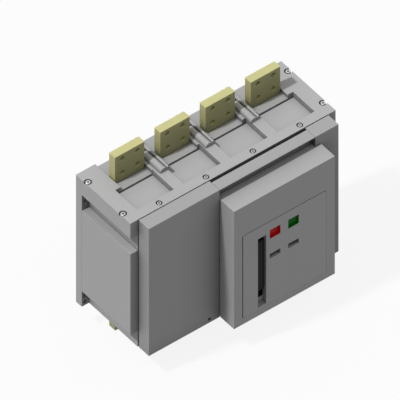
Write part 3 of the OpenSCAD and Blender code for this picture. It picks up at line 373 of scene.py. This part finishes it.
finishes = {
    "grey_moulding": mouldedFinish("greyMoulding", moulded((0.45, 0.45, 0.453))),
    # the covers and hood: a darker grey whose inner corners take stronger painted shade reaching
    # further; the panel: weaker painted corner shade
    "cover_moulding_deep_shade": mouldedFinish("coverMouldingDeepShade", moulded(
        (0.39, 0.39, 0.392), cornerReach=0.12, cornerShade=1.1)),
    "panel_moulding_less_shade": mouldedFinish("panelMouldingLessShade", moulded(
        (0.44, 0.44, 0.443), cornerShade=0.45)),
    "pale_moulding": mouldedFinish("paleMoulding", moulded((0.47, 0.47, 0.475), 0.5)),
    "panel_plate": mouldedFinish("panelPlate", moulded(
        (0.45, 0.45, 0.453), 0.5, grainScale=1400.0, cornerShade=0.7)),
    "black_plastic": mouldedFinish("blackPlastic", moulded((0.02, 0.02, 0.022), 0.45)),
    "handle_black": mouldedFinish("handleBlack", moulded(
        (0.009, 0.009, 0.0094), 0.5, wear=0.1, shine=0.08)),
    "red_button": mouldedFinish("redButton", moulded(
        (0.52, 0.003, 0.003), 0.35, wear=0.1, shine=0.08, cornerShade=0.3)),
    "green_button": mouldedFinish("greenButton", moulded(
        (0.0, 0.135, 0.004), 0.35, wear=0.1, shine=0.05, cornerShade=0.3)),
    "green_flag": mouldedFinish("greenFlag", moulded((0.0, 0.06, 0.03), 0.45)),
    "grey_flag": mouldedFinish("greyFlag", moulded((0.3, 0.3, 0.3), 0.45)),
    # painted shade: the bars' corners darken over a long reach, and their front and back faces are
    # made darker
    "plated_copper": metalFinish("platedCopper", metal(
        (0.6, 0.58, 0.27), 0.45, metallic=0.12, cornerReach=0.12, cornerShade=0.7,
        rolledFace=0.66)),
    "copper": metalFinish("copper", metal((0.72, 0.36, 0.22), 0.32)),
    "zinc_steel": metalFinish("zincSteel", metal(
        (0.56, 0.57, 0.58), 0.34, cornerReach=0.02, cornerShade=0.8)),
    "spring_steel": metalFinish("springSteel", metal((0.4, 0.41, 0.43), 0.3)),
    "clear_window": windowFinish("clearWindow", {
        "colour": (0.5, 0.52, 0.52), "ior": 1.35, "body": 0.12, "grainScale": 300.0,
        "gloss": 0.15}),
}
braidCopper = braidFinish("braidCopper", {
    "colour": (0.78, 0.42, 0.26), "shadow": (0.2, 0.08, 0.04), "gloss": 0.35,
    "strands": 420.0, "depth": 0.4 * mm})
print("finishes made:", len(finishes) + 1)

poles = range(1, 5)
slotNodes = {
    "grey_moulding": ["pole_housing", "side_panel_left", "side_panel_right", "front_cover_left",
                      "front_cover_right", "mechanism_hood", "operator_panel"]
                     + [f"barrier_holder_{place}" for place in (1, 2, 3)],
    "pale_moulding": ["insulating_wall", "shaft_bearings"]
                     + [f"arc_chute_{pole}" for pole in poles],
    "panel_plate": ["panel_plate"],
    "clear_window": ["flag_windows"],
    "plated_copper": [f"{side}_terminal_{pole}" for side in ("upper", "lower") for pole in poles],
    "copper": ["fixed_contacts", "flexible_braids"] + [f"contact_fingers_{pole}" for pole in poles],
    "black_plastic": ["current_transformers", "trip_unit"]
                     + [f"contact_carrier_{pole}" for pole in poles],
    "handle_black": ["charging_handle"],
    "zinc_steel": ["terminal_bolts", "splitter_plates", "flange_screws", "wall_screws",
                   "carrier_axles", "main_shaft", "coupling_links", "mechanism_plates",
                   "mechanism_spacers", "spring_bracket", "button_guide", "drive_pawl", "camshaft",
                   "spring_plunger", "trip_shaft", "closing_shaft"],
    "spring_steel": ["closing_spring"],
    "red_button": ["off_button"],
    "green_button": ["on_button"],
    "green_flag": ["on_off_flag"],
    "grey_flag": ["spring_flag"],
}

edgeRadius = {
    "grey_moulding": 0.7 * mm, "pale_moulding": 0.5 * mm, "panel_plate": 0.4 * mm,
    "clear_window": 0.2 * mm, "plated_copper": 0.8 * mm, "copper": 0.3 * mm,
    "black_plastic": 0.4 * mm, "handle_black": 0.8 * mm, "zinc_steel": 0.25 * mm,
    "spring_steel": 0.0, "red_button": 0.5 * mm, "green_button": 0.5 * mm,
    "green_flag": 0.2 * mm, "grey_flag": 0.2 * mm,
}

softening = {"flatAngle": 0.5, "sharpAngle": 40, "segments": 2, "weight": 80}


def softenEdges(piece, radius):
    # a node's loose triangles are joined, its flat faces made whole, and its edges rounded
    mesh = piece.data
    mesh.polygons.foreach_set("use_smooth", [True] * len(mesh.polygons))
    weld = piece.modifiers.new("weld", "WELD")
    weld.merge_threshold = mergeDistance
    flat = piece.modifiers.new("flat faces", "DECIMATE")
    flat.decimate_type = "DISSOLVE"
    flat.angle_limit = math.radians(softening["flatAngle"])
    if radius:
        bevel = piece.modifiers.new("edges", "BEVEL")
        bevel.width = radius
        bevel.segments = softening["segments"]
        bevel.limit_method = "ANGLE"
        bevel.angle_limit = math.radians(softening["sharpAngle"])
        bevel.use_clamp_overlap = False
        bevel.loop_slide = False
    normals = piece.modifiers.new("normals", "WEIGHTED_NORMAL")
    normals.weight = softening["weight"]


def clearNormals(piece):
    bpy.ops.object.select_all(action="DESELECT")
    bpy.context.view_layer.objects.active = piece
    piece.select_set(True)
    if piece.data.has_custom_normals:
        bpy.ops.mesh.customdata_custom_splitnormals_clear()
    piece.select_set(False)


ownFinish = {"flexible_braids": braidCopper}  # finishes that differ from their slot's
for name in ("front_cover_left", "front_cover_right", "mechanism_hood"):
    ownFinish[name] = finishes["cover_moulding_deep_shade"]
ownFinish["operator_panel"] = finishes["panel_moulding_less_shade"]

for slotName, names in slotNodes.items():
    for nodeName in names:
        piece = nodes[nodeName]
        piece.data.materials.clear()
        piece.data.materials.append(ownFinish.get(nodeName, finishes[slotName]))
        clearNormals(piece)
        softenEdges(piece, edgeRadius[slotName])
print("nodes finished:", sum(len(names) for names in slotNodes.values()))


# Modelling steps that the new pieces share

smoothAngle = 30  # faces that meet at less than this are shaded as one, in degrees


def startPiece(name, addShape, **sizes):
    bpy.ops.object.select_all(action="DESELECT")
    addShape(**sizes)
    piece = bpy.context.object
    piece.name = piece.data.name = name
    bpy.ops.object.transform_apply(location=True, rotation=True, scale=True)
    return piece


def editOnly(piece):
    bpy.ops.object.select_all(action="DESELECT")
    bpy.context.view_layer.objects.active = piece
    piece.select_set(True)
    bpy.ops.object.mode_set(mode="EDIT")
    bpy.ops.mesh.select_mode(type="FACE")


def pickFaces(piece, wanted):
    # selects the faces whose middle and normal pass a test, and nothing else
    mesh = bmesh.from_edit_mesh(piece.data)
    bpy.ops.mesh.select_all(action="DESELECT")
    for face in mesh.faces:
        face.select_set(wanted(face.calc_center_median(), face.normal))
    bmesh.update_edit_mesh(piece.data)


def pushOut(offset):
    bpy.ops.mesh.extrude_region_move(TRANSFORM_OT_translate={"value": offset})


def applyAll(piece):
    bpy.ops.object.mode_set(mode="OBJECT")
    bpy.context.view_layer.objects.active = piece
    for modifier in list(piece.modifiers):
        bpy.ops.object.modifier_apply(modifier=modifier.name)


def roundEdges(piece, radius, angle):
    bevel = piece.modifiers.new("edges", "BEVEL")
    bevel.width = radius
    bevel.segments = softening["segments"]
    bevel.limit_method = "ANGLE"
    bevel.angle_limit = math.radians(angle)
    bevel.harden_normals = False


def joinPieces(first, others):
    bpy.ops.object.select_all(action="DESELECT")
    for piece in others + [first]:
        piece.select_set(True)
    bpy.context.view_layer.objects.active = first
    bpy.ops.object.join()


def claimPiece(piece, finish, body, replaced):
    piece.data.materials.clear()
    piece.data.materials.append(finish)
    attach(piece, body)
    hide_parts(replaced)


def finishPiece(piece, slotName, body, replaced):
    bpy.ops.object.select_all(action="DESELECT")
    piece.select_set(True)
    bpy.context.view_layer.objects.active = piece
    bpy.ops.object.shade_smooth_by_angle(angle=math.radians(smoothAngle))
    claimPiece(piece, finishes[slotName], body, replaced)


def copyNode(nodeName, name):
    # a node's own mesh as the start of a new piece, its loose triangles joined up
    piece = nodes[nodeName].copy()
    piece.data = nodes[nodeName].data.copy()
    piece.name = piece.data.name = name
    piece.modifiers.clear()
    bpy.context.scene.collection.objects.link(piece)
    editOnly(piece)
    bpy.ops.mesh.select_all(action="SELECT")
    bpy.ops.mesh.remove_doubles(threshold=mergeDistance)
    return piece


def pickPoints(piece, wanted):
    mesh = bmesh.from_edit_mesh(piece.data)
    bpy.ops.mesh.select_mode(type="VERT")
    bpy.ops.mesh.select_all(action="DESELECT")
    for point in mesh.verts:
        point.select_set(wanted(point.co))
    mesh.select_flush_mode()
    bmesh.update_edit_mesh(piece.data)


# The left front cover, which reaches to the middle bay over its whole height

coverSet = {"node": "front_cover_left", "wall": (-77.9 * mm, -74.2 * mm), "reach": 4.9 * mm}


def makeLeftCover():
    cover = copyNode(coverSet["node"], "leftCover")
    low, high = coverSet["wall"]
    pickPoints(cover, lambda at: low < at.x < high)
    bpy.ops.transform.translate(value=(coverSet["reach"], 0, 0))
    bpy.ops.mesh.select_all(action="SELECT")
    bpy.ops.mesh.remove_doubles(threshold=mergeDistance)
    bpy.ops.object.mode_set(mode="OBJECT")
    softenEdges(cover, edgeRadius["grey_moulding"])
    claimPiece(cover, finishes["cover_moulding_deep_shade"], "root", coverSet["node"])


# The control plate: its face fills the panel's window, with a narrow gap at the left and the top

plateSet = {
    "node": "panel_plate", "seat": -286.5 * mm, "face": -290.4 * mm, "corner": 4.0 * mm,
    "cornerSegments": 6,
    "left": -41.7 * mm, "right": 196.8 * mm, "low": -184.8 * mm, "top": 77.2 * mm,
    "wellLow": -145.0 * mm, "wellDrop": -15.0 * mm, "wellSides": (0.0, 26.0 * mm),
    "openings": [
        (1.0 * mm, 24.7 * mm, -177.0 * mm, 42.0 * mm),
        (35.0 * mm, 65.5 * mm, 22.0 * mm, 50.0 * mm),
        (88.0 * mm, 118.5 * mm, 22.0 * mm, 50.0 * mm),
        (35.0 * mm, 65.5 * mm, -41.0 * mm, -26.0 * mm),
        (88.0 * mm, 118.5 * mm, -41.0 * mm, -26.0 * mm),
    ],
}


def addBlock(name, low, high):
    middle = [(a + b) / 2 for a, b in zip(low, high)]
    return startPiece(name, bpy.ops.mesh.primitive_cube_add, size=1.0, location=middle,
                      scale=[b - a for a, b in zip(low, high)])


def combine(piece, other, operation):
    boolean = piece.modifiers.new(operation.lower(), "BOOLEAN")
    boolean.operation = operation
    boolean.solver = "EXACT"
    boolean.object = other
    applyAll(piece)
    bpy.data.objects.remove(other, do_unlink=True)


def makePlateFace():
    # the raised face with its round corners and its openings
    look = plateSet
    face = addBlock("plateFace", (look["left"], look["face"], look["low"]),
                    (look["right"], look["seat"], look["top"]))
    editOnly(face)
    mesh = bmesh.from_edit_mesh(face.data)
    bpy.ops.mesh.select_mode(type="EDGE")
    bpy.ops.mesh.select_all(action="DESELECT")
    for edge in mesh.edges:
        a, b = edge.verts[0].co, edge.verts[1].co
        edge.select_set(abs(a.y - b.y) > touch)
    bmesh.update_edit_mesh(face.data)
    bpy.ops.mesh.bevel(offset=look["corner"], segments=look["cornerSegments"], affect="EDGES")
    bpy.ops.object.mode_set(mode="OBJECT")
    cutFront, cutBack = look["face"] - past, look["seat"] + past
    for x0, x1, z0, z1 in look["openings"]:
        combine(face, addBlock("opening", (x0, cutFront, z0), (x1, cutBack, z1)), "DIFFERENCE")
    return face


def makePlate():
    look = plateSet
    plate = copyNode(look["node"], "controlPlate")
    # the well's opening reaches down past the handle's hub
    pickPoints(plate, lambda at: abs(at.z - look["wellLow"]) < touch
               and look["wellSides"][0] < at.x < look["wellSides"][1])
    bpy.ops.transform.translate(value=(0, 0, look["wellDrop"]))
    bpy.ops.object.mode_set(mode="OBJECT")
    combine(plate, makePlateFace(), "UNION")
    softenEdges(plate, edgeRadius["panel_plate"])
    claimPiece(plate, finishes["panel_plate"], "root", look["node"])


# The operator panel, whose rim reaches back to just before the hood's wall

panelSet = {"node": "operator_panel", "rim": -231.0 * mm, "reach": 4.6 * mm}


def makePanel():
    panel = copyNode(panelSet["node"], "operatorPanel")
    pickPoints(panel, lambda at: abs(at.y - panelSet["rim"]) < touch)
    bpy.ops.transform.translate(value=(0, panelSet["reach"], 0))
    bpy.ops.object.mode_set(mode="OBJECT")
    softenEdges(panel, edgeRadius["grey_moulding"])
    claimPiece(panel, finishes["panel_moulding_less_shade"], "root", panelSet["node"])


# The closing spring, which the plunger shortens on the breaker; here it is copied from its node and
# keeps one length

springSet = {"node": "closing_spring", "top": (72.5 * mm, -257.0 * mm, -4.3 * mm),
             "length": 53.9 * mm, "stroke": 12.0 * mm, "joint": "plunger_slide"}


def makeSpring():
    look = springSet
    spring = copyNode(look["node"], "closingSpring")
    bpy.ops.object.mode_set(mode="OBJECT")
    softenEdges(spring, edgeRadius["spring_steel"])
    applyAll(spring)
    claimPiece(spring, finishes["spring_steel"], "root", look["node"])
    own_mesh(spring)


makeLeftCover()
makePlate()
makePanel()
makeSpring()
print("left cover, control plate, panel and spring made")


# Cap screws in their deep counterbores

screwSet = {
    "flange": {"node": "flange_screws", "head": 6.2 * mm, "length": 30.0 * mm,
               "places": [(side * 287.3 * mm, y) for side in (-1, 1)
                          for y in (-35.0 * mm, -163.3 * mm)], "ends": (1,)},
    "wall": {"node": "wall_screws", "head": 5.1 * mm, "length": 34.0 * mm,
             "places": [(step * 134.7 * mm, -186.9 * mm) for step in (-1.5, -0.5, 0.5, 1.5)],
             "ends": (1, -1)},
    "faceHeight": 203.3 * mm, "below": 0.5 * mm, "sunk": 8.0 * mm, "shank": 3.0 * mm,
    "chamfer": 0.6 * mm, "socket": 2.3 * mm, "socketDeep": 5.5 * mm, "edge": 0.25 * mm,
}


def makeScrew(name, kind):
    look = screwSet[kind]
    top = screwSet["faceHeight"] - screwSet["below"]
    seat = screwSet["faceHeight"] - screwSet["sunk"]
    low = screwSet["faceHeight"] - look["length"]
    chamfer = screwSet["chamfer"]
    screw = startPiece(name, bpy.ops.mesh.primitive_cylinder_add, vertices=48, radius=look["head"],
                       depth=top - chamfer - seat, location=(0, 0, (top - chamfer + seat) / 2))
    editOnly(screw)
    pickFaces(screw, lambda middle, normal: normal.z > squarely)
    bpy.ops.mesh.inset(thickness=chamfer)
    bpy.ops.transform.translate(value=(0, 0, chamfer))
    pickFaces(screw, lambda middle, normal: normal.z < -squarely)
    bpy.ops.mesh.inset(thickness=look["head"] - screwSet["shank"])
    pushOut((0, 0, low - seat))
    bpy.ops.object.mode_set(mode="OBJECT")
    combine(screw, startPiece("hexKey", bpy.ops.mesh.primitive_cylinder_add, vertices=6,
                              radius=screwSet["socket"], depth=2 * screwSet["socketDeep"],
                              location=(0, 0, top)), "DIFFERENCE")
    roundEdges(screw, screwSet["edge"], 40)
    applyAll(screw)
    return screw


def copyPiece(master, name, offset, upsideDown):
    copy = master.copy()
    copy.data = master.data.copy()
    copy.name = copy.data.name = name
    bpy.context.scene.collection.objects.link(copy)
    bpy.ops.object.select_all(action="DESELECT")
    bpy.context.view_layer.objects.active = copy
    copy.select_set(True)
    if upsideDown:
        copy.rotation_euler = (math.pi, 0.0, 0.0)
    copy.location = offset
    bpy.ops.object.transform_apply(location=True, rotation=True, scale=True)
    return copy


for kind in ("flange", "wall"):
    master = makeScrew(kind + "Screw", kind)
    count = 0
    for end in screwSet[kind]["ends"]:
        for x, y in screwSet[kind]["places"]:
            count += 1
            screw = copyPiece(master, f"{kind}Screw{count}", (x, y, 0.0), end < 0)
            finishPiece(screw, "zinc_steel", "root", screwSet[kind]["node"])
    bpy.data.objects.remove(master, do_unlink=True)
print("screws made")


# Push buttons: a cup for the fingertip, its flange, and the stem with a stop collar

buttonSet = {
    "off": {"node": "off_button", "slot": "red_button", "left": 35.0 * mm, "reach": -247.3 * mm},
    "on": {"node": "on_button", "slot": "green_button", "left": 88.0 * mm, "reach": -225.3 * mm},
    "opening": 30.5 * mm, "height": 28.0 * mm, "middle": 36.0 * mm, "play": 0.4 * mm,
    "face": -289.9 * mm, "flange": -283.2 * mm, "flangeBack": -281.2 * mm, "flangeLap": 1.5 * mm,
    "rim": 0.9 * mm, "dish": 5.4 * mm, "dishSlope": 0.3 * mm, "stem": 4.0 * mm, "collar": 6.5 * mm,
    "collarSpan": (-269.3 * mm, -266.3 * mm), "edge": 0.3 * mm, "stemEdge": 0.25 * mm,
}


def makeButton(name, kind):
    look, shared = buttonSet[kind], buttonSet
    middle = Vector((look["left"] + shared["opening"] / 2, 0.0, shared["middle"]))
    wide = shared["opening"] - 2 * shared["play"]
    tall = shared["height"] - 2 * shared["play"]
    face, flange, back = shared["face"], shared["flange"], shared["flangeBack"]
    button = startPiece(name, bpy.ops.mesh.primitive_cube_add, size=1.0,
                        location=(middle.x, (face + flange) / 2, middle.z),
                        scale=(wide, flange - face, tall))
    editOnly(button)
    pickFaces(button, lambda centre, normal: normal.y < -squarely)
    bpy.ops.mesh.inset(thickness=shared["rim"])
    bpy.ops.mesh.inset(thickness=shared["dishSlope"])
    bpy.ops.transform.translate(value=(0, shared["dish"], 0))
    pickFaces(button, lambda centre, normal: normal.y > squarely)
    pushOut((0, 0, 0))
    bpy.ops.transform.resize(
        value=((shared["opening"] + 2 * shared["flangeLap"]) / wide, 1,
               (shared["height"] + 2 * shared["flangeLap"]) / tall),
        center_override=(middle.x, flange, middle.z))
    pushOut((0, back - flange, 0))
    bpy.ops.object.mode_set(mode="OBJECT")
    roundEdges(button, shared["edge"], 25)
    applyAll(button)
    return button, middle


def makeStem(name, middle, reach):
    # turned from one bar: thin, the collar, thin again
    shared = buttonSet
    near, far = shared["collarSpan"]
    back = shared["flangeBack"]
    stem = startPiece(name, bpy.ops.mesh.primitive_cylinder_add, vertices=40, radius=shared["stem"],
                      depth=near - back, rotation=(math.pi / 2, 0, 0),
                      location=(middle.x, (near + back) / 2, middle.z))
    widen = shared["collar"] / shared["stem"]
    editOnly(stem)
    for at, grow, length in ((near, widen, far - near), (far, 1 / widen, reach - far)):
        pickFaces(stem, lambda centre, normal: normal.y > squarely and centre.y > at - touch)
        pushOut((0, 0, 0))
        bpy.ops.transform.resize(value=(grow, 1, grow), center_override=(middle.x, at, middle.z))
        pushOut((0, length, 0))
    bpy.ops.object.mode_set(mode="OBJECT")
    roundEdges(stem, shared["stemEdge"], 40)
    applyAll(stem)
    return stem


for kind in ("off", "on"):
    button, middle = makeButton(kind + "Button", kind)
    joinPieces(button, [makeStem("stem", middle, buttonSet[kind]["reach"])])
    finishPiece(button, buttonSet[kind]["slot"], buttonSet[kind]["node"], buttonSet[kind]["node"])
print("buttons made")


# Floor, light and camera

studio = {
    "floorSize": 8.0, "floorColour": 0.28, "paleShare": 0.9, "pale": 0.972,
    "skyTop": 0.57, "skyLow": 0.27, "sun": 2.05, "sunAngle": 4.0,
    "sunTravel": (0.614, -0.087, -1.0),
}


def seenDirectly(tree):
    # 1 for what the camera, a mirror or glass sees, 0 for the light that falls on the object
    path = addNode(tree, "ShaderNodeLightPath")
    first = calculate(tree, "MAXIMUM", path.outputs["Is Camera Ray"], path.outputs["Is Glossy Ray"])
    return calculate(tree, "MAXIMUM", first, path.outputs["Is Transmission Ray"])


def makeFloor():
    lowest = cadBox[0].z
    bpy.ops.object.select_all(action="DESELECT")
    bpy.ops.mesh.primitive_plane_add(size=studio["floorSize"], location=(0, 0, lowest))
    floor = bpy.context.object
    floor.name = "floor"
    material = bpy.data.materials.new("paleFloor")
    material.use_nodes = True
    tree = material.node_tree
    tree.nodes.clear()
    grey, share, pale = studio["floorColour"], studio["paleShare"], studio["pale"]
    matte = addNode(tree, "ShaderNodeBsdfDiffuse", inputs={"Color": (grey, grey, grey, 1.0)})
    paleMatte = addNode(tree, "ShaderNodeBsdfDiffuse", inputs={"Color": (1 - share,) * 3 + (1.0,)})
    glow = addNode(tree, "ShaderNodeEmission", inputs={"Color": (1.0, 1.0, 1.0, 1.0),
                                                       "Strength": pale * share})
    both = addNode(tree, "ShaderNodeAddShader")
    mix = addNode(tree, "ShaderNodeMixShader")
    out = addNode(tree, "ShaderNodeOutputMaterial")
    tree.links.new(paleMatte.outputs[0], both.inputs[0])
    tree.links.new(glow.outputs[0], both.inputs[1])
    tree.links.new(seenDirectly(tree), mix.inputs["Fac"])
    tree.links.new(matte.outputs[0], mix.inputs[1])
    tree.links.new(both.outputs[0], mix.inputs[2])
    tree.links.new(mix.outputs[0], out.inputs["Surface"])
    floor.data.materials.append(material)


def makeSky():
    world = bpy.data.worlds.new("studio")
    bpy.context.scene.world = world
    world.use_nodes = True
    tree = world.node_tree
    tree.nodes.clear()
    place = addNode(tree, "ShaderNodeTexCoord")
    split = addNode(tree, "ShaderNodeSeparateXYZ")
    tree.links.new(place.outputs["Generated"], split.inputs[0])
    height = mapRange(tree, split.outputs["Z"], wanted=(studio["skyLow"], studio["skyTop"]))
    light = addNode(tree, "ShaderNodeBackground")
    tree.links.new(height.outputs[0], light.inputs["Strength"])
    white = addNode(tree, "ShaderNodeBackground", inputs={"Strength": studio["pale"]})
    for background in (light, white):
        background.inputs["Color"].default_value = (1.0, 1.0, 1.0, 1.0)
    mix = addNode(tree, "ShaderNodeMixShader")
    out = addNode(tree, "ShaderNodeOutputWorld")
    tree.links.new(seenDirectly(tree), mix.inputs["Fac"])
    tree.links.new(light.outputs[0], mix.inputs[1])
    tree.links.new(white.outputs[0], mix.inputs[2])
    tree.links.new(mix.outputs[0], out.inputs["Surface"])


def makeSun():
    data = bpy.data.lights.new("key", "SUN")
    data.energy = studio["sun"]
    data.angle = math.radians(studio["sunAngle"])
    sun = bpy.data.objects.new("key", data)
    bpy.context.scene.collection.objects.link(sun)
    sun.rotation_mode = "QUATERNION"
    sun.rotation_quaternion = Vector(studio["sunTravel"]).to_track_quat("-Z", "Y")


# A parallel view from the front left, 45 degrees above

cameraSet = {"azimuth": -38.05, "elevation": 45.0, "width": 0.9048, "right": 0.04859,
             "up": -0.04237, "distance": 3.0}


def makeCamera():
    view = cameraSet
    a, e = math.radians(view["azimuth"]), math.radians(view["elevation"])
    back = Vector((math.sin(a) * math.cos(e), -math.cos(a) * math.cos(e), math.sin(e)))
    right = Vector((math.cos(a), math.sin(a), 0.0))
    up = back.cross(right)
    data = bpy.data.cameras.new("camera")
    data.type = "ORTHO"
    data.ortho_scale = view["width"]
    camera = bpy.data.objects.new("camera", data)
    bpy.context.scene.collection.objects.link(camera)
    camera.rotation_mode = "QUATERNION"
    camera.rotation_quaternion = (-back).to_track_quat("-Z", "Y")
    camera.location = right * view["right"] + up * view["up"] + back * view["distance"]
    bpy.context.scene.camera = camera


makeFloor()
makeSky()
makeSun()
makeCamera()
bpy.context.scene.view_settings.view_transform = "Standard"
print("studio made")
